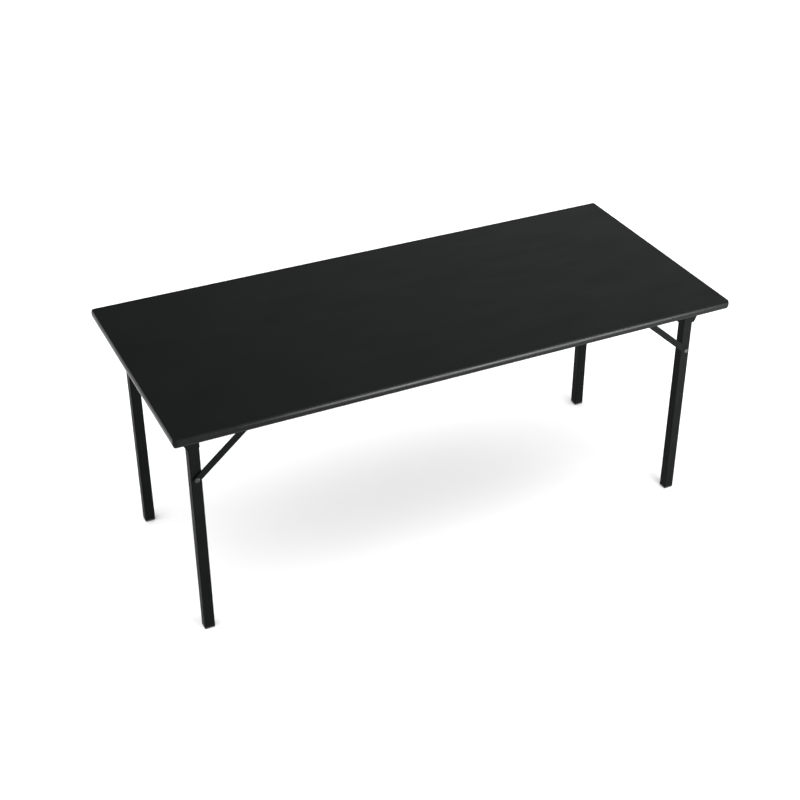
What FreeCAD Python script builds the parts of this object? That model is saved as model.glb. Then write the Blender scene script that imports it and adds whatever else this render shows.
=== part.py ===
import FreeCAD, Part
import math
import os
import re
import Sketcher

Vector = FreeCAD.Vector
TO_RIGHT = Vector(1, 0, 0)
TO_BACK = Vector(0, 1, 0)

# Folding table.  +X runs along the top, +Y to the back, +Z up.  The origin is on the floor, under the
# middle of the top.  Each leg frame hinges near one end of the top and folds inwards.

SIZES = (
    # the top
    ("top_length", 1800, "over the edge band"),
    ("top_width", 800, "over the edge band"),
    ("table_height", 750, "floor to the laminate's face"),
    ("corner_radius", 10, "corners of the top, seen from above"),
    ("laminate_thick", 0.8, ""),
    ("board_thick", 23.6, ""),
    ("backing_thick", 0.6, ""),
    ("band_thick", 4.5, "edge band at the middle of its height"),
    ("band_crown", 3, "how far the band's middle stands out past its edges"),
    ("barb_depth", 8, "barb that holds the band in the board's groove"),
    ("barb_thick", 3, ""),
    ("barb_clear", 0.1, "each side of the barb"),
    ("barb_end_gap", 40, "from the top's end to the end of a barb"),
    # legs
    ("leg_width", 32, "square tube"),
    ("leg_wall", 1.5, ""),
    ("leg_corner", 3, "outside corner radius of the tube"),
    ("end_inset", 65, "end of the top to the leg's outer face"),
    ("side_inset", 92, "long edge of the top to the leg's outer face"),
    ("hinge_drop", 50, "underside of the top to the hinge axis"),
    ("leg_head", 13, "hinge axis to the tube's top end"),
    ("cap_height", 7, "foot cap below the tube"),
    ("cap_chamfer", 3, ""),
    ("cap_plug", 24, "foot cap inside the tube"),
    ("cap_bore", 18, "square hollow in the foot cap's plug"),
    ("plug_clear", 0.15, "each side of a plug in its tube"),
    ("head_plug_thick", 1.5, "cover of the plug in the leg's top end"),
    ("head_plug_depth", 5, ""),
    ("cross_width", 20, "square cross tube between two legs"),
    ("cross_wall", 1.5, ""),
    ("cross_corner", 2, ""),
    ("cross_drop", 36, "hinge axis to the middle of the cross tube"),
    # hinge
    ("plate_thick", 2.5, "steel of brackets and guide plates"),
    ("side_gap", 0.5, "leg to bracket cheek"),
    ("bracket_half", 40, "half length of the bracket's top plate"),
    ("cheek_shoulder", 38, "hinge axis up to where the cheeks start to narrow"),
    ("cheek_waist", 4, "hinge axis up to where the outer cheek is as narrow as the leg"),
    ("cheek_foot", 30, "hinge axis down to the end of the outer cheek"),
    ("cheek_cut", 6, "corner cut off the foot of the outer cheek"),
    ("cheek_wing", 9, "how far the outer cheek stands out past the stop lip"),
    ("wing_height", 18, "foot of the outer cheek up to the widest of its wing"),
    ("swing_gap", 4, "inner cheek to the cross tube as it swings past"),
    ("lip_top", 16, "hinge axis down to the top of the stop lip"),
    ("bend_radius", 2, "outside of the steel bends"),
    ("bolt_radius", 4, "hinge bolt"),
    ("pin_clear", 0.05, "running clearance of a pin in its hole, on the radius"),
    ("bolt_head_radius", 7, ""),
    ("bolt_head_height", 4, ""),
    ("bolt_end", 2, "bolt past the nut"),
    ("nut_radius", 7.5, "over the corners"),
    ("nut_height", 7, ""),
    ("bush_wall", 2, "bush in the leg"),
    ("bush_end_gap", 0.2, "each end of the bush to its cheek"),
    # strut and its pins
    ("strut_drop", 130, "hinge axis down to the strut's rivet"),
    ("open_reach", 182, "leg axis to the slide pin when open"),
    ("open_height", 29, "slide pin above the hinge axis when open"),
    ("stow_height", 29, "slide pin above the hinge axis when folded"),
    ("strut_width", 20, "flat bar"),
    ("strut_thick", 4, ""),
    ("washer_thick", 1, "between leg and strut"),
    ("washer_radius", 8.5, ""),
    ("rivet_radius", 4, "strut rivet and slide pin"),
    ("rivet_head_radius", 8, ""),
    ("rivet_head_height", 3.5, ""),
    ("rivet_tail_radius", 6, ""),
    ("rivet_tail_height", 2, ""),
    # guide plate and slide pin
    ("web_gap", 1, "strut to the guide plate's web"),
    ("guide_margin", 5, "web below the slot"),
    ("guide_end_margin", 10, "web past the slot's ends"),
    ("guide_flange", 25, "width of the flange against the top"),
    ("guide_screw_in", 11, "guide screws from the web's inner face"),
    ("guide_screw_end", 12, "guide screws from the flange's ends"),
    ("slide_bush_radius", 6, ""),
    ("slot_clear", 0.3, "slide bush to the slot's edge"),
    ("collar_radius", 9, "collar of the slide bush"),
    ("collar_thick", 0.7, ""),
    ("collar_gap", 0.15, "collar to web, and collar to strut"),
    ("slide_head_radius", 8, ""),
    ("slide_head_height", 2, ""),
    ("slide_head_gap", 0.4, "slide pin's head to the web"),
    # detent spring
    ("spring_thick", 0.8, ""),
    ("spring_width", 22, ""),
    ("spring_stand", 4.5, "spring's free part to the web"),
    ("spring_dip", 3.7, "depth of the vee that holds the pin"),
    ("vee_half", 4, "half width of the vee"),
    ("vee_land", 5, "flat of the spring past the vee"),
    ("spring_foot", 15, "hinge axis up to the spring's free end"),
    ("spring_root", 10, "guide flange down to where the spring bends in to the web"),
    ("spring_step", 2.2, "height of the bends that bring the spring in to the web"),
    ("spring_line", 4, "guide flange down to the spring's rivets"),
    ("spring_rivet_radius", 1.6, ""),
    ("spring_rivet_head", 2.8, "its radius"),
    ("spring_rivet_rise", 1.2, "height of its head"),
    # screws
    ("screw_radius", 2.25, ""),
    ("screw_head_radius", 4.5, ""),
    ("screw_head_height", 2.4, ""),
    ("screw_bite", 15, "screw in the board"),
    ("pilot_clear", 0.05, "hole round a screw, on the radius"),
    ("recess_radius", 1.6, "hexagon recess in a screw's head"),
    ("recess_depth", 1.4, ""),
    ("bracket_screw_in", 11, "bracket screws from the plate's ends"),
    ("bracket_screw_off", 8, "bracket screws from the leg's middle line"),
)

doc = FreeCAD.newDocument("FoldingTable")
sheet = doc.addObject("Spreadsheet::Sheet", "Sizes")
for row, (alias, value, note) in enumerate(SIZES, start=1):
    sheet.set(f"A{row}", alias)
    sheet.set(f"B{row}", str(value))
    sheet.setAlias(f"B{row}", alias)
    sheet.set(f"C{row}", note)
doc.recompute()
ALIASES = {alias for alias, value, note in SIZES}
nodes = []


def size(alias):
    """The number that the sheet holds for one size."""
    return float(getattr(sheet, alias))


def bound(expression):
    """The expression with each size pointing at its cell."""
    return re.sub(r"[a-z_]+", lambda m: "Sizes." + m[0] if m[0] in ALIASES else m[0], expression)


# Places worked out from the sizes, as expressions.
TOP_THICK = "(laminate_thick + board_thick + backing_thick)"
UNDERSIDE = f"(table_height - {TOP_THICK})"
HINGE_HEIGHT = f"({UNDERSIDE} - hinge_drop)"
LEG_X = "(top_length / 2 - end_inset - leg_width / 2)"
LEG_Y = "(top_width / 2 - side_inset - leg_width / 2)"
CHEEK_IN = "(leg_width / 2 + side_gap)"
CHEEK_OUT = f"({CHEEK_IN} + plate_thick)"
STRUT_IN = "(leg_width / 2 + washer_thick)"
STRUT_OUT = f"({STRUT_IN} + strut_thick)"
WEB_IN = f"({STRUT_OUT} + web_gap)"
WEB_OUT = f"({WEB_IN} + plate_thick)"
STRUT_LENGTH = "sqrt(open_reach ^ 2 + (open_height + strut_drop) ^ 2)"
STOW_REACH = f"(strut_drop + sqrt(({STRUT_LENGTH}) ^ 2 - stow_height ^ 2))"
SLOT_END = "(slide_bush_radius + slot_clear + guide_end_margin)"
GUIDE_START = f"(open_reach - {SLOT_END})"
GUIDE_END = f"({STOW_REACH} + {SLOT_END})"
BOLT_TIP = f"({CHEEK_OUT} + nut_height + bolt_end)"
BUSH_HALF = f"({CHEEK_IN} - bush_end_gap)"
BUSH_RADIUS = "(bolt_radius + pin_clear + bush_wall)"
VEE_START = "(open_reach + slide_head_radius - vee_half / 2)"
SPRING_START = f"({VEE_START} + 2 * vee_half + vee_land - spring_width)"
STATION = (f"-{LEG_X}", f"-{LEG_Y}", HINGE_HEIGHT)


# ---- small helpers for bodies, sketches and features

def new_body(label, place=("0", "0", "0")):
    body = doc.addObject("PartDesign::Body", label)
    body.Label = label
    for axis, expression in zip("xyz", place):
        body.setExpression(f"Placement.Base.{axis}", bound(expression))
    return body


def new_sketch(body, name, plane, offset):
    sketch = body.newObject("Sketcher::SketchObject", name)
    face = [item for item in body.Origin.OriginFeatures if item.Role == plane][0]
    sketch.AttachmentSupport = [(face, "")]
    sketch.MapMode = "FlatFace"
    sketch.setExpression("AttachmentOffset.Base.z", bound(offset))
    return sketch


def drive(sketch, kind, *where, by, now=1.0):
    """Add one dimension to a sketch and tie it to an expression."""
    index = sketch.addConstraint(Sketcher.Constraint(kind, *where, now))
    sketch.setExpression(f"Constraints[{index}]", bound(by))


def fix_point(sketch, geometry, end, x, y, drawn=False):
    """Tie a point to the sheet.  Drawn means that it already stands where it should."""
    here = sketch.getPoint(geometry, end) if drawn else Vector(1, 1, 0)
    drive(sketch, "DistanceX", -1, 1, geometry, end, by=x, now=here.x)
    drive(sketch, "DistanceY", -1, 1, geometry, end, by=y, now=here.y)


def polygons(body, name, plane, offset, *loops):
    """A sketch of closed outlines, each corner tied to the sheet."""
    sketch = new_sketch(body, name, plane, offset)
    first = 0
    for loop in loops:
        count = len(loop)
        rough = [Vector(math.cos(k), math.sin(k), 0) for k in range(count)]
        for k in range(count):
            sketch.addGeometry(Part.LineSegment(rough[k], rough[(k + 1) % count]), False)
        for k, (x, y) in enumerate(loop):
            follower = first + (k + 1) % count
            sketch.addConstraint(Sketcher.Constraint("Coincident", first + k, 2, follower, 1))
            fix_point(sketch, first + k, 1, x, y)
        first += count
    return sketch


def circles(body, name, plane, offset, radius, *centres):
    sketch = new_sketch(body, name, plane, offset)
    for k, (x, y) in enumerate(centres):
        sketch.addGeometry(Part.Circle(Vector(10 * k, 0, 0), Vector(0, 0, 1), 1.0), False)
        fix_point(sketch, k, 3, x, y)
        drive(sketch, "Radius", k, by=radius)
    return sketch


def box_loop(x0, y0, x1, y1):
    return ((x0, y0), (x1, y0), (x1, y1), (x0, y1))


def square_loop(half):
    return box_loop(f"-({half})", f"-({half})", half, half)


def pad(body, name, sketch, length):
    feature = body.newObject("PartDesign::Pad", name)
    feature.Profile = sketch
    feature.setExpression("Length", bound(length))
    sketch.Visibility = False
    doc.recompute()
    return feature


def pocket(body, name, sketch, length, upwards=False):
    """Cut against the sketch's normal, or along it when upwards is set."""
    before = body.Shape.Volume
    feature = body.newObject("PartDesign::Pocket", name)
    feature.Profile = sketch
    feature.Reversed = upwards
    feature.setExpression("Length", bound(length))
    doc.recompute()
    if body.Shape.Volume > before - 1e-6:
        raise RuntimeError(f"{body.Label}: {name} cuts nothing")
    return feature


def dress(body, name, kind, amount, wanted):
    """Fillet or chamfer every edge of the body that wanted() picks."""
    base = body.Tip
    picked = [f"Edge{k}" for k, edge in enumerate(base.Shape.Edges, start=1) if wanted(edge)]
    if not picked:
        raise RuntimeError(f"{body.Label}: {name} finds no edge")
    feature = body.newObject(f"PartDesign::{kind}", name)
    feature.Base = (base, picked)
    feature.setExpression("Radius" if kind == "Fillet" else "Size", bound(amount))
    doc.recompute()
    return feature


def along(axis):
    """A test for straight edges along one axis."""
    def test(edge):
        step = edge.Vertexes[-1].Point - edge.Vertexes[0].Point
        return step.Length > 1e-6 and abs(abs(getattr(step, axis)) - step.Length) < 1e-6
    return test


def at_level(axis, level):
    """A test for edges that lie in one plane."""
    def test(edge):
        box = edge.BoundBox
        low = getattr(box, f"{axis.upper()}Min")
        high = getattr(box, f"{axis.upper()}Max")
        return abs(low - level) < 1e-4 and abs(high - level) < 1e-4
    return test


def both(first, second):
    return lambda edge: first(edge) and second(edge)


def turned(label, place, plane, steps, bore=None, rim=None, sides=None):
    """A pin-like piece.  Each step is (radius, from, length) along the plane's normal.

    A bore is (radius, from, length), counted the same way.  A rim is the fillet of the edge that lies
    furthest along the normal.  With sides set, the first step is a polygon over its corners.
    """
    body = new_body(label, place)
    for k, (radius, start, length) in enumerate(steps):
        if sides and k == 0:
            corners = [
                (f"({radius}) * cos({360 * n / sides} deg)", f"({radius}) * sin({360 * n / sides} deg)")
                for n in range(sides)
            ]
            sketch = polygons(body, f"step_{k}", plane, start, corners)
        else:
            sketch = circles(body, f"step_{k}", plane, start, radius, ("0", "0"))
        pad(body, f"pad_{k}", sketch, length)
    if bore:
        radius, start, length = bore
        sketch = circles(body, "bore", plane, start, radius, ("0", "0"))
        pocket(body, "bore_cut", sketch, length, upwards=True)
    if rim:
        box = body.Tip.Shape.BoundBox
        flat = at_level("z", box.ZMax) if plane == "XY_Plane" else at_level("y", box.YMin)
        dress(body, "rim", "Fillet", rim, flat)
    return body


def keep(item):
    """Mark an object as a sub-part to hand out."""
    nodes.append(item)
    return item


def mirrored(source, name, normal):
    copy = doc.addObject("Part::Mirroring", name)
    copy.Label = name
    copy.Source = source
    copy.Base = Vector(0, 0, 0)
    copy.Normal = normal
    return copy


def everywhere(item, label):
    """Keep a front left piece and its mirror images at the other three legs."""
    item.Label = f"{label}_front_left"
    keep(item)
    right = keep(mirrored(item, f"{label}_front_right", TO_RIGHT))
    keep(mirrored(item, f"{label}_back_left", TO_BACK))
    keep(mirrored(right, f"{label}_back_right", TO_BACK))


def group(label, items):
    """One node that holds separate solids."""
    compound = doc.addObject("Part::Compound", label)
    compound.Label = label
    compound.Links = items
    return keep(compound)


def fours(label, items):
    """One node of front left pieces and their images at the other three legs."""
    front = items + [mirrored(item, f"{item.Name}_right", TO_RIGHT) for item in items]
    back = [mirrored(item, f"{item.Name}_back", TO_BACK) for item in front]
    group(label, front + back)


def pairs(label, item):
    """Two nodes, for the left frame and the right one, each with a front and a back piece."""
    back = mirrored(item, f"{item.Name}_back", TO_BACK)
    left = group(f"{label}_left", [item, back])
    keep(mirrored(left, f"{label}_right", TO_RIGHT))


def tube(body, half, corner, wall, plane, start, length):
    """A square tube with rounded corners, as four features of a body."""
    axis = "z" if plane == "XY_Plane" else "y"
    outside = polygons(body, "outside", plane, start, square_loop(half))
    pad(body, "length", outside, length)
    dress(body, "outer_corners", "Fillet", corner, along(axis))
    old_edges = {middle_of(edge) for edge in body.Tip.Shape.Edges}
    inside = polygons(body, "inside", plane, start, square_loop(f"{half} - {wall}"))
    pocket(body, "hollow", inside, length, upwards=True)

    def fresh(edge):
        return along(axis)(edge) and middle_of(edge) not in old_edges

    dress(body, "inner_corners", "Fillet", f"{corner} - {wall}", fresh)


def middle_of(edge):
    middle = edge.CenterOfMass
    return (round(middle.x, 3), round(middle.y, 3), round(middle.z, 3))


# ---- the top

SCREW_SPOTS = [
    (f"{sign}(bracket_half - bracket_screw_in)", f"{side}bracket_screw_off")
    for sign in ("", "-")
    for side in ("", "-")
]
GUIDE_SCREW_RUN = f"({GUIDE_END} - {GUIDE_START} - 2 * guide_screw_end)"
GUIDE_SPOTS = [
    (f"({GUIDE_START} + guide_screw_end + {k} / 3 * {GUIDE_SCREW_RUN})", f"-({WEB_IN} - guide_screw_in)")
    for k in range(4)
]
RIVET_SPOTS = [
    (f"{SPRING_START} + spring_width * {share}", "hinge_drop - plate_thick - spring_line")
    for share in (0.25, 0.75)
]
BOARD_HALF_X = "(top_length / 2 - band_thick)"
BOARD_HALF_Y = "(top_width / 2 - band_thick)"


def panel(label, level, thickness):
    """A sheet inside the edge band."""
    body = new_body(label, ("0", "0", level))
    loop = box_loop(f"-{BOARD_HALF_X}", f"-{BOARD_HALF_Y}", BOARD_HALF_X, BOARD_HALF_Y)
    pad(body, "sheet", polygons(body, "outline", "XY_Plane", "0", loop), thickness)
    dress(body, "corners", "Fillet", "corner_radius - band_thick", along("z"))
    return keep(body)


def screw_holes(body, depth):
    """Holes for every screw, from the lower face up."""
    spots = []
    for u, v in SCREW_SPOTS + GUIDE_SPOTS:
        for right in ("", "-"):
            for back in ("", "-"):
                spots.append((f"{right}(-{LEG_X} + ({u}))", f"{back}(-{LEG_Y} + ({v}))"))
    sketch = circles(body, "screw_spots", "XY_Plane", "0", "screw_radius + pilot_clear", *spots)
    pocket(body, "screw_holes", sketch, depth, upwards=True)


def barb_loops(out_x, out_y, depth, end_gap):
    """Four strips along the inside of the top's edges: each starts at out_x or out_y and runs inwards."""
    long_half = f"(top_length / 2 - {end_gap})"
    wide_half = f"(top_width / 2 - {end_gap})"
    return (
        box_loop(f"-{long_half}", f"-{out_y}", long_half, f"-({out_y} - {depth})"),
        box_loop(f"-{long_half}", f"{out_y} - {depth}", long_half, out_y),
        box_loop(f"-{out_x}", f"-{wide_half}", f"-({out_x} - {depth})", wide_half),
        box_loop(f"{out_x} - {depth}", f"-{wide_half}", out_x, wide_half),
    )


def top_pieces():
    screw_holes(panel("backing_sheet", UNDERSIDE, "backing_thick"), "backing_thick")
    board = panel("top_board", f"{UNDERSIDE} + backing_thick", "board_thick")
    screw_holes(board, "screw_bite")
    groove_low = f"({TOP_THICK} - barb_thick) / 2 - backing_thick - barb_clear"
    groove = barb_loops(BOARD_HALF_X, BOARD_HALF_Y, "(barb_depth + 2 * barb_clear)", "(barb_end_gap - 1)")
    strips = polygons(board, "groove_strips", "XY_Plane", groove_low, *groove)
    pocket(board, "groove", strips, "barb_thick + 2 * barb_clear", upwards=True)
    panel("top_laminate", "table_height - laminate_thick", "laminate_thick")


def edge_band():
    """A crowned strip swept round the top, with a barb along each side."""
    band = new_body("edge_band", ("0", "0", UNDERSIDE))
    half_x, half_y, radius = size("top_length") / 2, size("top_width") / 2, size("corner_radius")
    quarter = math.pi / 2
    spine = new_sketch(band, "spine", "XY_Plane", "0")
    corners = ((1, -1), (1, 1), (-1, 1), (-1, -1))
    for k, (sx, sy) in enumerate(corners):
        middle = Vector(sx * (half_x - radius), sy * (half_y - radius), 0)
        here = -quarter + k * quarter
        start = middle + Vector(math.cos(here), math.sin(here), 0) * radius
        px, py = corners[k - 1]
        before = Vector(px * (half_x - radius), py * (half_y - radius), 0)
        before += Vector(math.cos(here), math.sin(here), 0) * radius
        spine.addGeometry(Part.LineSegment(before, start), False)
        circle = Part.Circle(middle, Vector(0, 0, 1), radius)
        spine.addGeometry(Part.ArcOfCircle(circle, here, here + quarter), False)
    for k in range(8):
        spine.addConstraint(Sketcher.Constraint("Tangent", k, 2, (k + 1) % 8, 1))
    for k, (sx, sy) in enumerate(corners):
        middle_x = f"{sx} * (top_length / 2 - corner_radius)"
        middle_y = f"{sy} * (top_width / 2 - corner_radius)"
        fix_point(spine, 2 * k + 1, 3, middle_x, middle_y, drawn=True)
        drive(spine, "Radius", 2 * k + 1, by="corner_radius", now=radius)
    inner, rim = "-(top_width / 2 - band_thick)", "-(top_width / 2 - band_crown)"
    profile = new_sketch(band, "profile", "YZ_Plane", "0")
    thick = size("laminate_thick") + size("board_thick") + size("backing_thick")
    flat, edge = -half_y + size("band_thick"), -half_y + size("band_crown")
    low_in, high_in = Vector(flat, 0, 0), Vector(flat, thick, 0)
    low_out, high_out = Vector(edge, 0, 0), Vector(edge, thick, 0)
    profile.addGeometry(Part.LineSegment(low_in, high_in), False)
    profile.addGeometry(Part.LineSegment(high_in, high_out), False)
    profile.addGeometry(Part.Arc(high_out, Vector(-half_y, thick / 2, 0), low_out), False)
    profile.addGeometry(Part.LineSegment(low_out, low_in), False)
    profile.addConstraint(Sketcher.Constraint("Coincident", 1, 1, 0, 2))
    profile.addConstraint(Sketcher.Constraint("Coincident", 2, 1, 1, 2))
    profile.addConstraint(Sketcher.Constraint("Coincident", 2, 2, 3, 1))
    profile.addConstraint(Sketcher.Constraint("Coincident", 3, 2, 0, 1))
    fix_point(profile, 0, 1, inner, "0", drawn=True)
    fix_point(profile, 0, 2, inner, TOP_THICK, drawn=True)
    fix_point(profile, 1, 2, rim, TOP_THICK, drawn=True)
    fix_point(profile, 3, 1, rim, "0", drawn=True)
    crown_radius = f"({TOP_THICK} ^ 2 / 4 + band_crown ^ 2) / (2 * band_crown)"
    drive(profile, "Radius", 2, by=crown_radius, now=profile.Geometry[2].Radius)
    doc.recompute()
    strip = band.newObject("PartDesign::AdditivePipe", "strip")
    strip.Profile = profile
    strip.Spine = (spine, [f"Edge{k}" for k in range(1, 9)])
    doc.recompute()
    loops = barb_loops(BOARD_HALF_X, BOARD_HALF_Y, "barb_depth", "barb_end_gap")
    barbs = polygons(band, "barb_strips", "XY_Plane", f"({TOP_THICK} - barb_thick) / 2", *loops)
    pad(band, "barbs", barbs, "barb_thick")
    keep(band)


# ---- hinge bracket, its bolt and its screws

def plate_screw_holes(body, spots):
    """Screw holes in the part of a steel plate that lies against the top."""
    holes = circles(body, "screw_spots", "XY_Plane", "hinge_drop", "screw_radius + pilot_clear", *spots)
    pocket(body, "screw_holes", holes, "plate_thick")


def hinge_bracket():
    """A folded plate: two cheeks beside the leg and a lip that the open leg leans on."""
    body = new_body("hinge_bracket", STATION)
    plate = box_loop("-bracket_half", f"-{CHEEK_OUT}", "bracket_half", CHEEK_OUT)
    sketch = polygons(body, "plate_outline", "XY_Plane", "hinge_drop - plate_thick", plate)
    pad(body, "top_plate", sketch, "plate_thick")
    half_leg = "leg_width / 2"
    outer_cheek = (
        ("-bracket_half", "hinge_drop"),
        ("bracket_half", "hinge_drop"),
        ("bracket_half", "cheek_shoulder"),
        (half_leg, "cheek_waist"),
        (half_leg, "cheek_cut - cheek_foot"),
        (f"{half_leg} - cheek_cut", "-cheek_foot"),
        (f"-{CHEEK_OUT}", "-cheek_foot"),
        (f"-({CHEEK_OUT} + cheek_wing)", "wing_height - cheek_foot"),
        ("-bracket_half", "cheek_shoulder"),
    )
    sketch = polygons(body, "outer_outline", "XZ_Plane", CHEEK_IN, outer_cheek)
    pad(body, "outer_cheek", sketch, "plate_thick")
    clear = "(cross_drop - cross_width / 2 - swing_gap)"
    turns = [45 * k - 22.5 for k in range(6)]
    round_end = [(f"{clear} * cos({turn} deg)", f"-{clear} * sin({turn} deg)") for turn in turns]
    inner_cheek = [("-bracket_half", "hinge_drop"), ("bracket_half", "hinge_drop")]
    inner_cheek += [("bracket_half", "cheek_shoulder"), *round_end, ("-bracket_half", "cheek_shoulder")]
    sketch = polygons(body, "inner_outline", "XZ_Plane", f"-{CHEEK_OUT}", inner_cheek)
    pad(body, "inner_cheek", sketch, "plate_thick")
    lip = box_loop(f"-{CHEEK_OUT}", "-cheek_foot", f"-{CHEEK_IN}", "-lip_top")
    sketch = polygons(body, "lip_outline", "XZ_Plane", f"-{half_leg}", lip)
    pad(body, "stop_lip", sketch, f"{half_leg} + {CHEEK_OUT}")
    holes = circles(body, "pivot_spot", "XZ_Plane", CHEEK_OUT, "bolt_radius + pin_clear", ("0", "0"))
    pocket(body, "pivot_holes", holes, f"2 * {CHEEK_OUT}")
    plate_screw_holes(body, SCREW_SPOTS)
    dress(body, "bends", "Fillet", "bend_radius", both(along("x"), at_level("z", size("hinge_drop"))))
    everywhere(body, "hinge_bracket")


def pivot_hardware():
    bolt = turned(
        "pivot_bolt",
        STATION,
        "XZ_Plane",
        (
            ("bolt_radius", f"-{BOLT_TIP}", f"{CHEEK_OUT} + {BOLT_TIP}"),
            ("bolt_head_radius", CHEEK_OUT, "bolt_head_height"),
        ),
        rim="bolt_head_height * 0.8",
    )
    nut = turned(
        "pivot_nut",
        STATION,
        "XZ_Plane",
        (("nut_radius", f"-({CHEEK_OUT} + nut_height)", "nut_height"),),
        bore=("bolt_radius + pin_clear", f"-({CHEEK_OUT} + nut_height)", "nut_height"),
        sides=6,
    )
    bush = turned(
        "pivot_bush",
        STATION,
        "XZ_Plane",
        ((BUSH_RADIUS, f"-{BUSH_HALF}", f"2 * {BUSH_HALF}"),),
        bore=("bolt_radius + pin_clear", f"-{BUSH_HALF}", f"2 * {BUSH_HALF}"),
    )
    fours("pivot_bolts", [bolt])
    fours("pivot_nuts", [nut])
    everywhere(bush, "pivot_bush")


def screw(label, u, v):
    """A pan-head screw that stands upwards, its head against a plate below the top."""
    x, y = f"-{LEG_X} + ({u})", f"-{LEG_Y} + ({v})"
    seat = f"{UNDERSIDE} - plate_thick"
    body = turned(
        label,
        (x, y, seat),
        "XY_Plane",
        (
            ("screw_head_radius", "-screw_head_height", "screw_head_height"),
            ("screw_radius", "0", "plate_thick + backing_thick + screw_bite - 1"),
        ),
    )
    low = -size("screw_head_height")
    dress(body, "dome", "Fillet", "screw_head_height * 0.6", at_level("z", low))
    corners = [
        (f"recess_radius * cos({60 * k} deg)", f"recess_radius * sin({60 * k} deg)") for k in range(6)
    ]
    sketch = polygons(body, "recess", "XY_Plane", "-screw_head_height", corners)
    pocket(body, "recess_cut", sketch, "recess_depth", upwards=True)
    return body


def screws():
    fours("bracket_screws", [screw(f"bracket_screw_{k}", u, v) for k, (u, v) in enumerate(SCREW_SPOTS)])
    fours("guide_screws", [screw(f"guide_screw_{k}", u, v) for k, (u, v) in enumerate(GUIDE_SPOTS)])


# ---- a leg and what is fixed to it

def leg_pieces():
    leg = new_body("leg", STATION)
    bottom = f"(cap_height - {HINGE_HEIGHT})"
    tube(leg, "leg_width / 2", "leg_corner", "leg_wall", "XY_Plane", bottom, f"leg_head - {bottom}")
    for name, radius, height in (
        ("pivot_hole", f"{BUSH_RADIUS} + pin_clear", "0"),
        ("rivet_hole", "rivet_radius + pin_clear", "-strut_drop"),
    ):
        spot = circles(leg, f"{name}_spot", "XZ_Plane", "leg_width / 2", radius, ("0", height))
        pocket(leg, name, spot, "leg_width")
    everywhere(leg, "leg")

    floor = (STATION[0], STATION[1], "0")
    inside = "leg_width / 2 - leg_wall - plug_clear"
    cap = new_body("foot_cap", floor)
    shoe = polygons(cap, "shoe_outline", "XY_Plane", "0", square_loop("leg_width / 2"))
    pad(cap, "shoe", shoe, "cap_height")
    dress(cap, "shoe_corners", "Fillet", "leg_corner", along("z"))
    dress(cap, "sole_edge", "Chamfer", "cap_chamfer", at_level("z", 0))
    plug = polygons(cap, "plug_outline", "XY_Plane", "cap_height", square_loop(inside))
    pad(cap, "plug", plug, "cap_plug")
    well = polygons(cap, "well_outline", "XY_Plane", "cap_height + cap_plug", square_loop("cap_bore / 2"))
    pocket(cap, "well", well, "cap_plug")
    half_plug = size("leg_width") / 2 - size("leg_wall") - size("plug_clear")

    def plug_corner(edge):
        return along("z")(edge) and abs(abs(edge.CenterOfMass.x) - half_plug) < 0.01

    dress(cap, "plug_corners", "Fillet", "leg_corner - leg_wall", plug_corner)
    everywhere(cap, "foot_cap")

    plug = new_body("leg_plug", STATION)
    cover = polygons(plug, "cover_outline", "XY_Plane", "leg_head", square_loop("leg_width / 2"))
    pad(plug, "cover", cover, "head_plug_thick")
    dress(plug, "cover_corners", "Fillet", "leg_corner", along("z"))
    stem = polygons(plug, "stem_outline", "XY_Plane", "leg_head - head_plug_depth", square_loop(inside))
    pad(plug, "stem", stem, "head_plug_depth")
    dress(plug, "stem_corners", "Fillet", "leg_corner - leg_wall", plug_corner)
    everywhere(plug, "leg_plug")


def cross_tubes():
    body = new_body("cross_tube_left", (f"-{LEG_X}", "0", f"{HINGE_HEIGHT} - cross_drop"))
    end, span = f"-({LEG_Y} - leg_width / 2)", f"2 * {LEG_Y} - leg_width"
    tube(body, "cross_width / 2", "cross_corner", "cross_wall", "XZ_Plane", end, span)
    keep(body)
    keep(mirrored(body, "cross_tube_right", TO_RIGHT))


def strut_rivets():
    place = (STATION[0], STATION[1], f"{HINGE_HEIGHT} - strut_drop")
    rivet = turned(
        "strut_rivet",
        place,
        "XZ_Plane",
        (
            ("rivet_radius", "-leg_width / 2", f"leg_width / 2 + {STRUT_OUT}"),
            ("rivet_tail_radius", "-(leg_width / 2 + rivet_tail_height)", "rivet_tail_height"),
            ("rivet_head_radius", STRUT_OUT, "rivet_head_height"),
        ),
        rim="rivet_head_height * 0.85",
    )
    washer = turned(
        "strut_washer",
        place,
        "XZ_Plane",
        (("washer_radius", "leg_width / 2", "washer_thick"),),
        bore=("rivet_radius + pin_clear", "leg_width / 2", "washer_thick"),
    )
    pairs("strut_rivets", rivet)
    pairs("strut_washers", washer)


# ---- strut, slide pin, guide plate and detent spring

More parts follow.
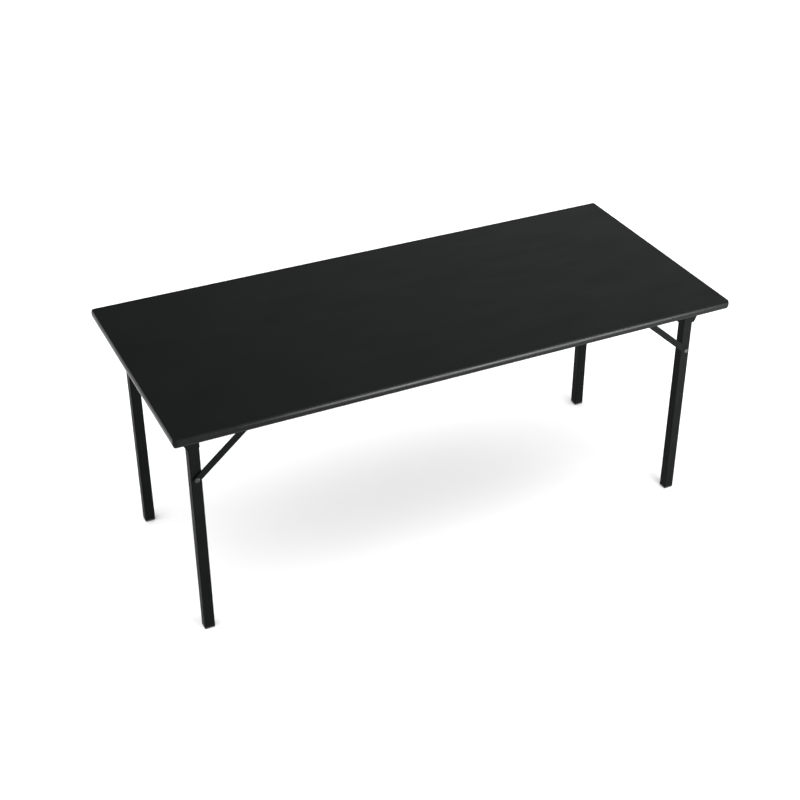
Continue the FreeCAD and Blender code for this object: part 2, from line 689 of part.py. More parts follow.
def strut_pieces():
    """The flat bar is drawn level and then turned up to its open angle."""
    strut = new_body("strut", (STATION[0], STATION[1], f"{HINGE_HEIGHT} - strut_drop"))
    strut.Placement = FreeCAD.Placement(strut.Placement.Base, FreeCAD.Rotation(Vector(0, -1, 0), 40))
    strut.setExpression("Placement.Rotation.Angle", bound("atan((open_height + strut_drop) / open_reach)"))
    middle = box_loop("0", "-strut_width / 2", STRUT_LENGTH, "strut_width / 2")
    pad(strut, "bar", polygons(strut, "bar_outline", "XZ_Plane", STRUT_IN, middle), "strut_thick")
    for name, x in (("lower_end", "0"), ("upper_end", STRUT_LENGTH)):
        sketch = circles(strut, f"{name}_circle", "XZ_Plane", STRUT_IN, "strut_width / 2", (x, "0"))
        pad(strut, name, sketch, "strut_thick")
    spots = ("0", "0"), (STRUT_LENGTH, "0")
    sketch = circles(strut, "pin_spots", "XZ_Plane", STRUT_OUT, "rivet_radius + pin_clear", *spots)
    pocket(strut, "pin_holes", sketch, "strut_thick")
    everywhere(strut, "strut")

    place = (f"-{LEG_X} + open_reach", STATION[1], f"{HINGE_HEIGHT} + open_height")
    head = f"({WEB_OUT} + slide_head_gap)"
    pin = turned(
        "slide_pin",
        place,
        "XZ_Plane",
        (
            ("rivet_radius", STRUT_IN, f"{head} - {STRUT_IN}"),
            ("slide_head_radius", head, "slide_head_height"),
        ),
        rim="slide_head_height * 0.5",
    )
    everywhere(pin, "slide_pin")
    collar = f"({WEB_IN} - collar_gap - collar_thick)"
    barrel = f"({head} - collar_gap - {collar})"
    bush = turned(
        "slide_bush",
        place,
        "XZ_Plane",
        (("slide_bush_radius", collar, barrel), ("collar_radius", collar, "collar_thick")),
        bore=("rivet_radius + pin_clear", collar, barrel),
    )
    everywhere(bush, "slide_bush")


def pin_path():
    """Slide pin's place and direction of travel, leg frame from open to folded, seen from the front.

    The strut turns back evenly while the leg folds, from its open angle to its stowed one, so the slot
    is the line that the pin's centre then follows.
    """
    drop, reach, height = size("strut_drop"), size("open_reach"), size("open_height")
    length = math.hypot(reach, height + drop)
    open_angle = math.atan2(height + drop, reach)
    stow_angle = math.asin(size("stow_height") / length)
    rate = (open_angle - stow_angle) / (math.pi / 2)
    steps = 12
    path = []
    for k in range(steps + 1):
        fold = math.pi / 2 * k / steps
        lean = open_angle - rate * fold
        place = Vector(math.sin(fold), 0, -math.cos(fold)) * drop
        place += Vector(math.cos(lean), 0, math.sin(lean)) * length
        travel = Vector(math.cos(fold), 0, math.sin(fold)) * drop
        travel += Vector(math.sin(lean), 0, -math.cos(lean)) * length * rate
        path.append((place, travel.normalize()))
    return path


def slot_half():
    return size("slide_bush_radius") + size("slot_clear")


def slot_cutter():
    """A solid round the pin's path, wide enough for the slide bush, through the web."""
    half, thick = slot_half(), size("plate_thick")
    web_in = size("leg_width") / 2 + size("washer_thick") + size("strut_thick") + size("web_gap")
    start_level = Vector(0, thick / 2 - web_in, 0)
    path = [(place + start_level, travel) for place, travel in pin_path()]
    sides = []
    for sign in (1, -1):
        points = [place + Vector(-travel.z, 0, travel.x) * half * sign for place, travel in path]
        curve = Part.BSplineCurve()
        curve.interpolate(points)
        sides.append((points, curve.toShape()))
    (upper, upper_edge), (lower, lower_edge) = sides
    (first, first_travel), (last, last_travel) = path[0], path[-1]
    start = Part.Arc(upper[0], first - first_travel * half, lower[0]).toShape()
    end = Part.Arc(upper[-1], last + last_travel * half, lower[-1]).toShape()
    face = Part.Face(Part.Wire(Part.sortEdges([upper_edge, end, lower_edge, start])[0]))
    cutter = doc.addObject("Part::Feature", "slot_cutter")
    cutter.Shape = face.extrude(Vector(0, -2 * thick, 0))
    for axis, expression in zip("xyz", STATION):
        cutter.setExpression(f"Placement.Base.{axis}", bound(expression))
    return cutter


def guide_plate():
    body = new_body("guide_blank", STATION)
    lowest = min(place.z for place, travel in pin_path()) - slot_half() - size("guide_margin")
    web = (
        (GUIDE_START, "hinge_drop"),
        (GUIDE_START, f"{lowest} + guide_margin"),
        (f"{GUIDE_START} + 2 * guide_margin", f"{lowest}"),
        (f"{GUIDE_END} - 2 * guide_margin", f"{lowest}"),
        (GUIDE_END, f"{lowest} + guide_margin"),
        (GUIDE_END, "hinge_drop"),
    )
    pad(body, "web", polygons(body, "web_outline", "XZ_Plane", WEB_IN, web), "plate_thick")
    flange = box_loop(GUIDE_START, f"-{WEB_OUT}", GUIDE_END, f"guide_flange - {WEB_OUT}")
    sketch = polygons(body, "flange_outline", "XY_Plane", "hinge_drop - plate_thick", flange)
    pad(body, "flange", sketch, "plate_thick")
    plate_screw_holes(body, GUIDE_SPOTS)
    rivet_hole = "spring_rivet_radius + pilot_clear"
    holes = circles(body, "rivet_spots", "XZ_Plane", WEB_OUT, rivet_hole, *RIVET_SPOTS)
    pocket(body, "rivet_holes", holes, "plate_thick")
    top_edge = both(along("x"), at_level("z", size("hinge_drop")))

    def bend(edge):
        return top_edge(edge) and edge.CenterOfMass.y < -size("leg_width") / 2

    dress(body, "bend", "Fillet", "bend_radius", bend)
    plate = doc.addObject("Part::Cut", "guide_plate")
    plate.Base = body
    plate.Tool = slot_cutter()
    plate.Refine = True
    doc.recompute()
    everywhere(plate, "guide_plate")


def detent_spring():
    """A leaf on the web's outer side.  Its vee stands in the head's way until the leg is pushed hard."""
    body = new_body("detent_spring", STATION)
    stand = f"({WEB_OUT} + spring_stand)"
    dip = f"({stand} - spring_dip)"
    over = f"({SPRING_START} + spring_width)"
    knee = "hinge_drop - plate_thick - spring_root"
    seat = f"{knee} + spring_step"
    top = "hinge_drop - plate_thick - spring_thick"
    leaf = (
        (SPRING_START, f"-{stand}"),
        (VEE_START, f"-{stand}"),
        (f"{VEE_START} + vee_half", f"-{dip}"),
        (f"{VEE_START} + 2 * vee_half", f"-{stand}"),
        (over, f"-{stand}"),
        (over, f"-({stand} + spring_thick)"),
        (f"{VEE_START} + 2 * vee_half", f"-({stand} + spring_thick)"),
        (f"{VEE_START} + vee_half", f"-({dip} + spring_thick)"),
        (VEE_START, f"-({stand} + spring_thick)"),
        (SPRING_START, f"-({stand} + spring_thick)"),
    )
    sketch = polygons(body, "leaf_section", "XY_Plane", "spring_foot", leaf)
    pad(body, "leaf", sketch, f"{knee} - spring_foot")
    root = (
        (f"-{stand}", knee),
        (f"-{WEB_OUT}", seat),
        (f"-{WEB_OUT}", top),
        (f"-({WEB_OUT} + spring_thick)", top),
        (f"-({WEB_OUT} + spring_thick)", f"{seat} + spring_thick"),
        (f"-({stand} + spring_thick)", f"{knee} + spring_thick"),
        (f"-({stand} + spring_thick)", knee),
    )
    sketch = polygons(body, "root_section", "YZ_Plane", SPRING_START, root)
    pad(body, "root", sketch, "spring_width")
    face, hole = f"{WEB_OUT} + spring_thick", "spring_rivet_radius + pilot_clear"
    holes = circles(body, "rivet_spots", "XZ_Plane", face, hole, *RIVET_SPOTS)
    pocket(body, "rivet_holes", holes, "spring_thick")
    everywhere(body, "detent_spring")

    rivets = []
    for k, (u, w) in enumerate(RIVET_SPOTS):
        place = (f"-{LEG_X} + ({u})", STATION[1], f"{HINGE_HEIGHT} + {w}")
        rivets.append(turned(
            f"spring_rivet_{k}",
            place,
            "XZ_Plane",
            (
                ("spring_rivet_radius", WEB_IN, "plate_thick + spring_thick"),
                ("spring_rivet_head", f"{WEB_OUT} + spring_thick", "spring_rivet_rise"),
            ),
            rim="spring_rivet_rise * 0.8",
        ))
    fours("spring_rivets", rivets)


# ---- build, check, write

top_pieces()
edge_band()
hinge_bracket()
pivot_hardware()
screws()
leg_pieces()
cross_tubes()
strut_rivets()
strut_pieces()
guide_plate()
detent_spring()
doc.recompute()

faults = [item.Name for item in doc.Objects if {"Invalid", "Error"} & set(item.State)]
for node in nodes:
    if node.Shape.isNull() or not node.Shape.isValid() or node.Shape.Volume <= 0:
        faults.append(node.Label)
if faults:
    raise SystemExit("not written, these objects failed: " + ", ".join(faults))

os.makedirs("parts", exist_ok=True)
for node in nodes:
    node.Shape.exportStep(f"parts/{node.Label}.step")
print(f"{len(nodes)} sub-parts written")
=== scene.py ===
import bpy, math
from mathutils import Matrix, Vector


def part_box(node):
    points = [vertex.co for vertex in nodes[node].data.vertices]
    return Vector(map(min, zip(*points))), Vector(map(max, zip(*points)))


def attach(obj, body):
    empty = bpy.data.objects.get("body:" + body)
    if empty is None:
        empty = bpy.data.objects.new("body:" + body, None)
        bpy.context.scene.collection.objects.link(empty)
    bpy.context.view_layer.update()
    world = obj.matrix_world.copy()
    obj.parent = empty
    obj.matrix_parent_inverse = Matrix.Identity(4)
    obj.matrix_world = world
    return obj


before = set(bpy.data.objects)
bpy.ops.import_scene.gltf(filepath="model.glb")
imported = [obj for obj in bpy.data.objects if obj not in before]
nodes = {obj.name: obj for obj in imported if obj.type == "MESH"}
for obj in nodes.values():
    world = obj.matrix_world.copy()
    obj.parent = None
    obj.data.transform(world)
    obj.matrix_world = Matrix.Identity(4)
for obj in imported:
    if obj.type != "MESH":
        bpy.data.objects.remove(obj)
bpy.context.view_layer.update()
scene = bpy.context.scene
print("frame loaded,", len(nodes), "pieces")


# Shader helpers. Everything is in metres, so a noise scale of 1000 is a grain of about 1 mm.

def newMaterial(name):
    mat = bpy.data.materials.new(name)
    mat.use_nodes = True
    tree = mat.node_tree
    return mat, tree, tree.nodes["Principled BSDF"]


def addNode(tree, kind, **values):
    node = tree.nodes.new(kind)
    for key, value in values.items():
        if key in node.inputs:
            node.inputs[key].default_value = value
        else:
            setattr(node, key, value)
    return node


def placeOf(tree, stretch=(1, 1, 1)):
    # the piece's own coordinates, so a pattern stays on its piece when a leg folds
    coord = addNode(tree, "ShaderNodeTexCoord")
    mapping = addNode(tree, "ShaderNodeMapping", Scale=stretch)
    tree.links.new(coord.outputs["Object"], mapping.inputs["Vector"])
    return mapping.outputs["Vector"]


def noise(tree, scale, detail=2.0, rough=0.5, stretch=(1, 1, 1)):
    tex = addNode(tree, "ShaderNodeTexNoise", Scale=scale, Detail=detail, Roughness=rough)
    tree.links.new(placeOf(tree, stretch), tex.inputs["Vector"])
    return tex.outputs["Fac"]


def cells(tree, scale, feature="F1", stretch=(1, 1, 1), out="Distance"):
    tex = addNode(tree, "ShaderNodeTexVoronoi", Scale=scale, feature=feature)
    tree.links.new(placeOf(tree, stretch), tex.inputs["Vector"])
    return tex.outputs[out]


def remap(tree, value, low, high, toLow, toHigh):
    node = addNode(tree, "ShaderNodeMapRange")
    node.inputs["From Min"].default_value = low
    node.inputs["From Max"].default_value = high
    node.inputs["To Min"].default_value = toLow
    node.inputs["To Max"].default_value = toHigh
    tree.links.new(value, node.inputs["Value"])
    return node.outputs["Result"]


def mathOf(tree, operation, first, second):
    node = addNode(tree, "ShaderNodeMath", operation=operation)
    for socket, value in zip(node.inputs, (first, second)):
        if isinstance(value, (int, float)):
            socket.default_value = value
        else:
            tree.links.new(value, socket)
    return node.outputs["Value"]


def greyOf(tree, colour):
    node = addNode(tree, "ShaderNodeRGBToBW")
    tree.links.new(colour, node.inputs["Color"])
    return node.outputs["Val"]


def blendOf(tree, first, second, share):
    # share of the first pattern, and the rest of the second
    one = mathOf(tree, "MULTIPLY", first, share)
    other = mathOf(tree, "MULTIPLY", second, 1 - share)
    return mathOf(tree, "ADD", one, other)


def spread(tree, pattern, low, high):
    # the middle of a noise pattern, stretched between two values
    return remap(tree, pattern, 0.3, 0.7, low, high)


def twoTones(tree, factor, dark, light):
    ramp = addNode(tree, "ShaderNodeValToRGB")
    ramp.color_ramp.elements[0].color = (*dark, 1)
    ramp.color_ramp.elements[1].color = (*light, 1)
    tree.links.new(factor, ramp.inputs["Fac"])
    return ramp.outputs["Color"]


def mixTones(tree, factor, first, second):
    node = addNode(tree, "ShaderNodeMix", data_type="RGBA")
    tree.links.new(factor, node.inputs["Factor"])
    for socket, value in ((node.inputs[6], first), (node.inputs[7], second)):
        if isinstance(value, tuple):
            socket.default_value = (*value, 1)
        else:
            tree.links.new(value, socket)
    return node.outputs[2]


def bumps(tree, shader, layers, edge=0.0):
    # layers are (height, distance in metres, strength); edge rounds the sharp corners of the steel
    normal = None
    if edge:
        bevel = addNode(tree, "ShaderNodeBevel", Radius=edge, samples=4)
        normal = bevel.outputs["Normal"]
    for height, distance, strength in layers:
        bump = addNode(tree, "ShaderNodeBump", Distance=distance, Strength=strength)
        tree.links.new(height, bump.inputs["Height"])
        if normal:
            tree.links.new(normal, bump.inputs["Normal"])
        normal = bump.outputs["Normal"]
    tree.links.new(normal, shader.inputs["Normal"])


def setShader(shader, **values):
    for key, value in values.items():
        shader.inputs[key.replace("_", " ")].default_value = value


# Laminate of the top: black, satin, with a very fine suede grain.

laminate = {
    "dark": (0.0016, 0.0022, 0.0020),
    "light": (0.0026, 0.0034, 0.0031),
    "roughLow": 0.42,
    "roughHigh": 0.48,
    "cloud": 5.0,         # noise scales: soft clouds, suede grain and slight waviness
    "grain": 1500,
    "wave": 60.0,
    "cloudShare": 0.6,
    "grainDepth": 0.00006,
    "waveDepth": 0.0002,
    "specular": 0.074,
    "edge": 0.0006,       # rounding of sharp edges, in the shading only
}


def makeLaminate():
    mat, tree, shader = newMaterial("satinLaminate")
    cloud = noise(tree, laminate["cloud"], 4.0, 0.55)
    speck = noise(tree, laminate["grain"], 2.0)
    mixed = blendOf(tree, cloud, speck, laminate["cloudShare"])
    tone = twoTones(tree, remap(tree, mixed, 0.35, 0.65, 0, 1), laminate["dark"], laminate["light"])
    tree.links.new(tone, shader.inputs["Base Color"])
    # a few faint wiping marks along the top
    wipe = noise(tree, laminate["cloud"], 4.0, 0.5, (1.0, 3.0, 1.0))
    rough = spread(tree, wipe, laminate["roughLow"], laminate["roughHigh"])
    tree.links.new(rough, shader.inputs["Roughness"])
    setShader(shader, Specular_IOR_Level=laminate["specular"])
    wave = noise(tree, laminate["wave"], 2.0)
    bumps(tree, shader, (
        (speck, laminate["grainDepth"], 0.6),
        (wave, laminate["waveDepth"], 0.05),
    ), edge=laminate["edge"])
    return mat


# Edge band: black plastic, drawn out of a die, so its faint lines run along the edge.

edgePlastic = {
    "dark": (0.0012, 0.0015, 0.0014),
    "light": (0.0024, 0.0028, 0.0027),
    "roughLow": 0.20,
    "roughHigh": 0.32,
    "lines": 22.0,
    "lineDepth": 0.00010,
    "speck": 1800,
    "speckDepth": 0.00004,
    "patch": 14.0,
    "specular": 0.085,
}


def makeEdgePlastic():
    mat, tree, shader = newMaterial("edgePlastic")
    lines = noise(tree, edgePlastic["lines"], 3.0, 0.6, (1.0, 1.0, 90.0))
    speck = noise(tree, edgePlastic["speck"], 2.0)
    tone = twoTones(tree, lines, edgePlastic["dark"], edgePlastic["light"])
    tree.links.new(tone, shader.inputs["Base Color"])
    patch = noise(tree, edgePlastic["patch"], 3.0)
    rough = spread(tree, patch, edgePlastic["roughLow"], edgePlastic["roughHigh"])
    tree.links.new(rough, shader.inputs["Roughness"])
    setShader(shader, Specular_IOR_Level=edgePlastic["specular"])
    bumps(tree, shader, (
        (lines, edgePlastic["lineDepth"], 0.25),
        (speck, edgePlastic["speckDepth"], 0.5),
    ))
    return mat


# Steel with a baked powder coat: fine orange peel and a little grit.

powderCoat = {
    "dark": (0.0010, 0.0014, 0.0012),
    "light": (0.0026, 0.0032, 0.0029),
    "patch": 18.0,
    "patchShare": 0.55,
    "peel": 620,
    "peelDepth": 0.00012,
    "grit": 2600,
    "gritDepth": 0.00004,
    "roughLow": 0.42,
    "roughHigh": 0.56,
    "specular": 0.036,
    "edge": 0.0007,
}


def makePowderCoat():
    mat, tree, shader = newMaterial("powderCoat")
    peel = cells(tree, powderCoat["peel"], "SMOOTH_F1")
    grit = noise(tree, powderCoat["grit"], 3.0, 0.6)
    patch = noise(tree, powderCoat["patch"], 4.0, 0.6)
    mixed = blendOf(tree, patch, grit, powderCoat["patchShare"])
    tone = twoTones(tree, remap(tree, mixed, 0.35, 0.65, 0, 1), powderCoat["dark"], powderCoat["light"])
    tree.links.new(tone, shader.inputs["Base Color"])
    rough = spread(tree, patch, powderCoat["roughLow"], powderCoat["roughHigh"])
    tree.links.new(rough, shader.inputs["Roughness"])
    setShader(shader, Specular_IOR_Level=powderCoat["specular"])
    bumps(tree, shader, (
        (peel, powderCoat["peelDepth"], 0.45),
        (grit, powderCoat["gritDepth"], 0.6),
    ), edge=powderCoat["edge"])
    return mat


# Zinc-plated bolts, screws and rivets.

zinc = {
    "dark": (0.22, 0.225, 0.235),
    "light": (0.40, 0.40, 0.39),
    "roughLow": 0.30,
    "roughHigh": 0.48,
    "spangle": 700,
    "spangleShare": 0.35,
    "haze": 160.0,
    "hazeDepth": 0.00008,
    "edge": 0.0003,
}


def makeZinc(name, tones):
    mat, tree, shader = newMaterial(name)
    spangle = greyOf(tree, cells(tree, zinc["spangle"], out="Color"))
    haze = noise(tree, zinc["haze"], 4.0, 0.6)
    mixed = blendOf(tree, spangle, haze, zinc["spangleShare"])
    tree.links.new(twoTones(tree, mixed, tones["dark"], tones["light"]), shader.inputs["Base Color"])
    rough = spread(tree, haze, zinc["roughLow"], zinc["roughHigh"])
    tree.links.new(rough, shader.inputs["Roughness"])
    setShader(shader, Metallic=1.0)
    bumps(tree, shader, ((haze, zinc["hazeDepth"], 0.35),), edge=zinc["edge"])
    return mat


# Strut rivets: the same plating, blackened.

rivetTones = {"dark": (0.023, 0.024, 0.0245), "light": (0.050, 0.051, 0.0505)}


# Blued spring leaf, with the lines of the rolled strip.

springSteel = {
    "dark": (0.045, 0.055, 0.075),
    "light": (0.13, 0.14, 0.16),
    "roughLow": 0.24,
    "roughHigh": 0.42,
    "rolled": 90.0,
    "rolledDepth": 0.00005,
    "edge": 0.0002,
}


def makeSpringSteel():
    mat, tree, shader = newMaterial("bluedSpring")
    rolled = noise(tree, springSteel["rolled"], 4.0, 0.6, (1.0, 1.0, 14.0))
    tone = twoTones(tree, rolled, springSteel["dark"], springSteel["light"])
    tree.links.new(tone, shader.inputs["Base Color"])
    rough = spread(tree, rolled, springSteel["roughLow"], springSteel["roughHigh"])
    tree.links.new(rough, shader.inputs["Roughness"])
    setShader(shader, Metallic=1.0)
    bumps(tree, shader, ((rolled, springSteel["rolledDepth"], 0.3),), edge=springSteel["edge"])
    return mat


# Moulded caps: spark-eroded grain, and floor dust worked into the sole.

capPlastic = {
    "dark": (0.0070, 0.0074, 0.0073),
    "light": (0.0120, 0.0125, 0.0124),
    "dust": (0.045, 0.042, 0.038),
    "dustTop": 0.0045,    # height where the dust ends
    "dustMost": 0.8,
    "dustSpots": 240.0,
    "roughLow": 0.50,
    "roughHigh": 0.66,
    "grain": 1300,
    "grainDepth": 0.00006,
    "patch": 70.0,
    "edge": 0.0006,
}


def makeCapPlastic():
    mat, tree, shader = newMaterial("capPlastic")
    grain = noise(tree, capPlastic["grain"], 3.0, 0.65)
    patch = noise(tree, capPlastic["patch"], 3.0)
    tone = twoTones(tree, patch, capPlastic["dark"], capPlastic["light"])
    coord = addNode(tree, "ShaderNodeTexCoord")
    parts = addNode(tree, "ShaderNodeSeparateXYZ")
    tree.links.new(coord.outputs["Object"], parts.inputs["Vector"])
    low = remap(tree, parts.outputs["Z"], 0.0, capPlastic["dustTop"], 1.0, 0.0)
    spots = noise(tree, capPlastic["dustSpots"], 4.0, 0.7)
    dusty = mathOf(tree, "MULTIPLY", low, remap(tree, spots, 0.4, 0.7, 0.0, capPlastic["dustMost"]))
    tree.links.new(mixTones(tree, dusty, tone, capPlastic["dust"]), shader.inputs["Base Color"])
    rough = spread(tree, patch, capPlastic["roughLow"], capPlastic["roughHigh"])
    tree.links.new(rough, shader.inputs["Roughness"])
    bumps(tree, shader, ((grain, capPlastic["grainDepth"], 0.6),), edge=capPlastic["edge"])
    return mat


# Bushes and slide bushes: natural nylon.

nylon = {
    "dark": (0.46, 0.44, 0.38),
    "light": (0.62, 0.60, 0.53),
    "roughLow": 0.38,
    "roughHigh": 0.52,
    "cloud": 130.0,
    "turnMarks": 900.0,
    "turnDepth": 0.00004,
    "edge": 0.0003,
}


def makeNylon():
    mat, tree, shader = newMaterial("naturalNylon")
    cloud = noise(tree, nylon["cloud"], 3.0, 0.6)
    turnMarks = noise(tree, nylon["turnMarks"], 2.0, 0.5, (1.0, 6.0, 1.0))
    tree.links.new(twoTones(tree, cloud, nylon["dark"], nylon["light"]), shader.inputs["Base Color"])
    rough = spread(tree, cloud, nylon["roughLow"], nylon["roughHigh"])
    tree.links.new(rough, shader.inputs["Roughness"])
    setShader(shader, Subsurface_Weight=0.15, Subsurface_Scale=0.002)
    bumps(tree, shader, ((turnMarks, nylon["turnDepth"], 0.4),), edge=nylon["edge"])
    return mat


# Underside: dark balancing paper with pressed fibres.

backing = {
    "dark": (0.0105, 0.0098, 0.0090),
    "light": (0.022, 0.0205, 0.0185),
    "roughLow": 0.58,
    "roughHigh": 0.74,
    "lengthwise": 260.0,  # fibres one way, and a few less fine the other way
    "crosswise": 240.0,
    "fibreDepth": 0.00010,
    "fibreShare": 0.6,
    "cloud": 7.0,
    "specular": 0.35,
}


def makeBacking():
    mat, tree, shader = newMaterial("backingPaper")
    fibres = noise(tree, backing["lengthwise"], 5.0, 0.7, (1.0, 5.0, 1.0))
    crossed = noise(tree, backing["crosswise"], 5.0, 0.7, (5.0, 1.0, 1.0))
    both = mathOf(tree, "MAXIMUM", fibres, crossed)
    cloud = noise(tree, backing["cloud"], 4.0, 0.6)
    mixed = blendOf(tree, both, cloud, backing["fibreShare"])
    tone = twoTones(tree, remap(tree, mixed, 0.4, 0.68, 0, 1), backing["dark"], backing["light"])
    tree.links.new(tone, shader.inputs["Base Color"])
    rough = spread(tree, cloud, backing["roughLow"], backing["roughHigh"])
    tree.links.new(rough, shader.inputs["Roughness"])
    setShader(shader, Specular_IOR_Level=backing["specular"])
    bumps(tree, shader, ((both, backing["fibreDepth"], 0.45),))
    return mat


# Core of the top: pressed wood chips, hidden by the laminate, the backing and the band.

core = {
    "dark": (0.16, 0.095, 0.045),
    "light": (0.46, 0.32, 0.18),
    "chips": 320,
    "chipShare": 0.7,
    "chipDepth": 0.0004,
    "grain": 900.0,
}


def makeCore():
    mat, tree, shader = newMaterial("chipCore")
    chips = greyOf(tree, cells(tree, core["chips"], stretch=(1.0, 1.0, 3.0), out="Color"))
    grain = noise(tree, core["grain"], 4.0, 0.7, (1.0, 5.0, 5.0))
    mixed = blendOf(tree, chips, grain, core["chipShare"])
    tree.links.new(twoTones(tree, mixed, core["dark"], core["light"]), shader.inputs["Base Color"])
    setShader(shader, Roughness=0.85)
    bumps(tree, shader, ((mixed, core["chipDepth"], 0.6),))
    return mat


finishes = {
    "laminate": makeLaminate(),
    "edge": makeEdgePlastic(),
    "coat": makePowderCoat(),
    "zinc": makeZinc("zincPlate", zinc),
    "rivet": makeZinc("blackenedRivet", rivetTones),
    "spring": makeSpringSteel(),
    "cap": makeCapPlastic(),
    "nylon": makeNylon(),
    "backing": makeBacking(),
    "core": makeCore(),
}

finishOf = {
    "top_laminate": "laminate",
    "edge_band": "edge",
    "backing_sheet": "backing",
    "top_board": "core",
    "leg_plug": "cap",
    "foot_cap": "cap",
    "leg": "coat",
    "cross_tube": "coat",
    "strut_rivets": "rivet",
    "strut_washers": "nylon",
    "strut": "coat",
    "hinge_bracket": "coat",
    "guide_plate": "coat",
    "bracket_screws": "zinc",
    "guide_screws": "zinc",
    "pivot_bolts": "zinc",
    "pivot_nuts": "zinc",
    "pivot_bush": "nylon",
    "slide_bush": "nylon",
    "slide_pin": "zinc",
    "spring_rivets": "zinc",
    "detent_spring": "spring",
}

for name, piece in nodes.items():
    start = max((key for key in finishOf if name.startswith(key)), key=len)
    for materialSlot in piece.material_slots:
        materialSlot.material = finishes[finishOf[start]]
print("finishes on", len(nodes), "pieces")


# Weld beads round the ends of the cross tubes.

weld = {
    "reach": 0.0024,      # how far the bead stands out from the tube and from the leg
    "corner": 0.0022,     # corner radius of the bead's path
    "perSide": 44,        # steps along one side
    "arcSteps": 6,
    "section": 7,         # points across the bead
    "ripple": 0.10,
    "pitch": 0.0021,      # distance between ripples
    "sink": 0.0004,       # the bead's hidden side, inside the tube
    "press": 0.0001,      # and inside the leg
    "fullness": 0.8,      # below 1 the bead is fuller than a quarter round
    "drift": ((0.05, 410, 0.0), (0.04, 173, 1.3)),   # slow waves: size, rate, start
}


def swellOf(travelled):
    # even ripples, and the slow waves of a hand-held torch
    swell = 1 + weld["ripple"] * math.sin(2 * math.pi * travelled / weld["pitch"])
    for size, rate, start in weld["drift"]:
        swell += size * math.sin(travelled * rate + start)
    return swell


def weldPath(half):
    # rounded square in x and z, as pairs of a point and the way out from it
    radius = weld["corner"]
    flat = half - radius
    points = []
    for side in range(4):
        turn = side * math.pi / 2
        along = Vector((-math.sin(turn), math.cos(turn)))
        out = Vector((math.cos(turn), math.sin(turn)))
        for k in range(weld["perSide"]):
            share = k / weld["perSide"]
            spot = out * half + along * flat * (2 * share - 1)
            points.append((spot, out))
        for k in range(weld["arcSteps"]):
            angle = turn + math.pi / 2 * k / weld["arcSteps"]
            way = Vector((math.cos(angle), math.sin(angle)))
            centre = out * flat + along * flat
            points.append((centre + way * radius, way))
    return points


def makeWeld(name, centre, inward, half, body):
    # the bead sits in the corner between the leg's face and the tube; inward points along the tube
    points = weldPath(half)
    count, across, fullness = len(points), weld["section"], weld["fullness"]
    verts, faces = [], []
    travelled = 0.0
    for k, (spot, out) in enumerate(points):
        travelled += (spot - points[k - 1][0]).length
        reach = weld["reach"] * swellOf(travelled)
        for j in range(across):
            angle = math.pi / 2 * j / (across - 1)
            rise = reach * math.cos(angle) ** fullness if j < across - 1 else 0.0
            run = reach * math.sin(angle) ** fullness if j else 0.0
            place = spot + out * rise
            verts.append((centre.x + place.x, centre.y + inward * run, centre.z + place.y))
        root = spot - out * weld["sink"]
        verts.append((centre.x + root.x, centre.y - inward * weld["press"], centre.z + root.y))
    ring = across + 1
    for k in range(count):
        after = (k + 1) % count
        for j in range(ring):
            beside = (j + 1) % ring
            faces.append((k * ring + j, k * ring + beside, after * ring + beside, after * ring + j))
    mesh = bpy.data.meshes.new(name)
    mesh.from_pydata(verts, [], faces)
    mesh.validate()
    if inward < 0:
        mesh.flip_normals()   # a mirrored bead, so its faces are turned outwards again
    mesh.update()
    bead = bpy.data.objects.new(name, mesh)
    scene.collection.objects.link(bead)
    for face in mesh.polygons:
        face.use_smooth = True
    mesh.materials.append(finishes["coat"])
    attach(bead, body)


for side in ("left", "right"):
    low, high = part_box(f"cross_tube_{side}")
    middle = (Vector(low) + Vector(high)) / 2
    halfTube = (high[2] - low[2]) / 2
    for end, level, inward in (("front", low[1], 1), ("back", high[1], -1)):
        centre = Vector((middle.x, level, middle.z))
        makeWeld(f"weld_{end}_{side}", centre, inward, halfTube, f"leg_frame_{side}")
print("weld beads made")


# Floor, light and camera.

studio = {
    "floorTone": (0.95, 0.95, 0.95),
    "floorSize": 60,
    "floorDrop": 0.0005,  # floor below the foot caps
    "skyLow": 0.12,       # light from near the horizon
    "skyHigh": 1.1,       # light from overhead
    "skySeen": 1.0,       # what the camera sees past the floor
    "glow": 0.9,          # a brighter patch low on one side, for the sheen along the top
    "glowFrom": (0.60, 0.71, 0.37),
    "sunPower": 4.3,
    "sunAngle": 130,
    "sunFrom": (-0.35, -0.62, 1.0),
}


def makeFloor():
    half = studio["floorSize"] / 2
    mesh = bpy.data.meshes.new("floor")
    corners = [(-half, -half, 0), (half, -half, 0), (half, half, 0), (-half, half, 0)]
    mesh.from_pydata(corners, [], [(0, 1, 2, 3)])
    floor = bpy.data.objects.new("floor", mesh)
    floor.location.z = -studio["floorDrop"]
    scene.collection.objects.link(floor)
    mat, tree, shader = newMaterial("paperFloor")
    setShader(shader, Base_Color=(*studio["floorTone"], 1), Roughness=0.9, Specular_IOR_Level=0.1)
    mesh.materials.append(mat)


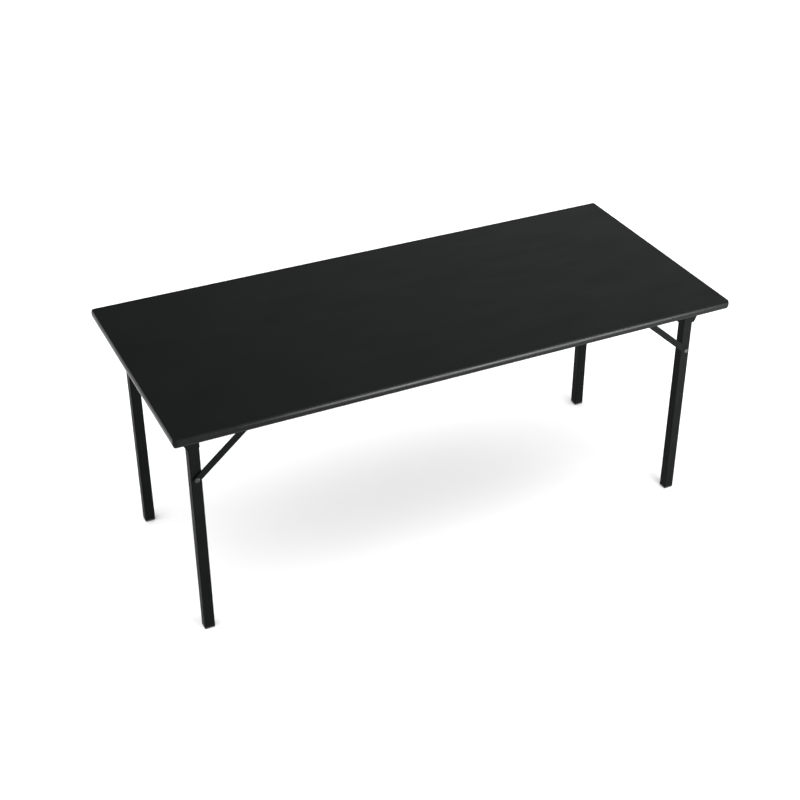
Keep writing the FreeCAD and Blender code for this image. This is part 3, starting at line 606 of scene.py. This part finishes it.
def makeSky():
    world = bpy.data.worlds.new("studio")
    world.use_nodes = True
    tree = world.node_tree
    tree.nodes.clear()
    coord = addNode(tree, "ShaderNodeTexCoord")
    parts = addNode(tree, "ShaderNodeSeparateXYZ")
    tree.links.new(coord.outputs["Generated"], parts.inputs["Vector"])
    plain = addNode(tree, "ShaderNodeBackground")
    level = remap(tree, parts.outputs["Z"], 0.7, 0.97, studio["skyLow"], studio["skyHigh"])
    patch = addNode(tree, "ShaderNodeVectorMath", operation="DOT_PRODUCT")
    tree.links.new(coord.outputs["Generated"], patch.inputs[0])
    patch.inputs[1].default_value = studio["glowFrom"]
    glow = remap(tree, patch.outputs["Value"], 0.86, 1.0, 0.0, studio["glow"])
    tree.links.new(mathOf(tree, "ADD", level, glow), plain.inputs["Strength"])
    seen = addNode(tree, "ShaderNodeBackground", Strength=studio["skySeen"])
    for node in (plain, seen):
        node.inputs["Color"].default_value = (1, 1, 1, 1)
    path = addNode(tree, "ShaderNodeLightPath")
    mix = addNode(tree, "ShaderNodeMixShader")
    out = addNode(tree, "ShaderNodeOutputWorld")
    tree.links.new(path.outputs["Is Camera Ray"], mix.inputs["Fac"])
    tree.links.new(plain.outputs["Background"], mix.inputs[1])
    tree.links.new(seen.outputs["Background"], mix.inputs[2])
    tree.links.new(mix.outputs["Shader"], out.inputs["Surface"])
    scene.world = world


def aim(obj, place, target):
    obj.location = place
    obj.rotation_euler = (Vector(target) - Vector(place)).to_track_quat("-Z", "Y").to_euler()


def makeSun():
    light = bpy.data.lights.new("window", "SUN")
    light.energy = studio["sunPower"]
    light.angle = math.radians(studio["sunAngle"])
    obj = bpy.data.objects.new("window", light)
    scene.collection.objects.link(obj)
    aim(obj, studio["sunFrom"], (0, 0, 0))


# Low box in front of the table, for the bright line along the edge band.

softbox = {
    "place": (1.12, -2.5, 0.26),
    "target": (1.12, 0.0, 0.64),
    "width": 1.9,
    "height": 0.8,
    "power": 200,
}


def makeSoftbox():
    light = bpy.data.lights.new("edgeSoftbox", "AREA")
    light.shape = "RECTANGLE"
    light.size, light.size_y = softbox["width"], softbox["height"]
    light.energy = softbox["power"]
    obj = bpy.data.objects.new("edgeSoftbox", light)
    scene.collection.objects.link(obj)
    aim(obj, softbox["place"], softbox["target"])
    obj.visible_camera = False


makeFloor()
makeSky()
makeSun()
makeSoftbox()

lens = {
    "place": (-1.7431, -3.5544, 2.9252),
    "heading": -27.129,
    "tilt": 57.512,
    "roll": 0.81,
    "length": 65.99,
    "shiftX": -0.0435,
    "shiftY": 0.0,
}


def makeCamera():
    data = bpy.data.cameras.new("camera")
    data.lens = lens["length"]
    data.shift_x, data.shift_y = lens["shiftX"], lens["shiftY"]
    camera = bpy.data.objects.new("camera", data)
    scene.collection.objects.link(camera)
    matrix = Matrix.Translation(lens["place"])
    for angle, axis in ((lens["heading"], "Z"), (lens["tilt"], "X"), (lens["roll"], "Z")):
        matrix = matrix @ Matrix.Rotation(math.radians(angle), 4, axis)
    camera.matrix_world = matrix
    return camera


scene.camera = makeCamera()
scene.view_settings.view_transform = "Standard"
print("studio ready")
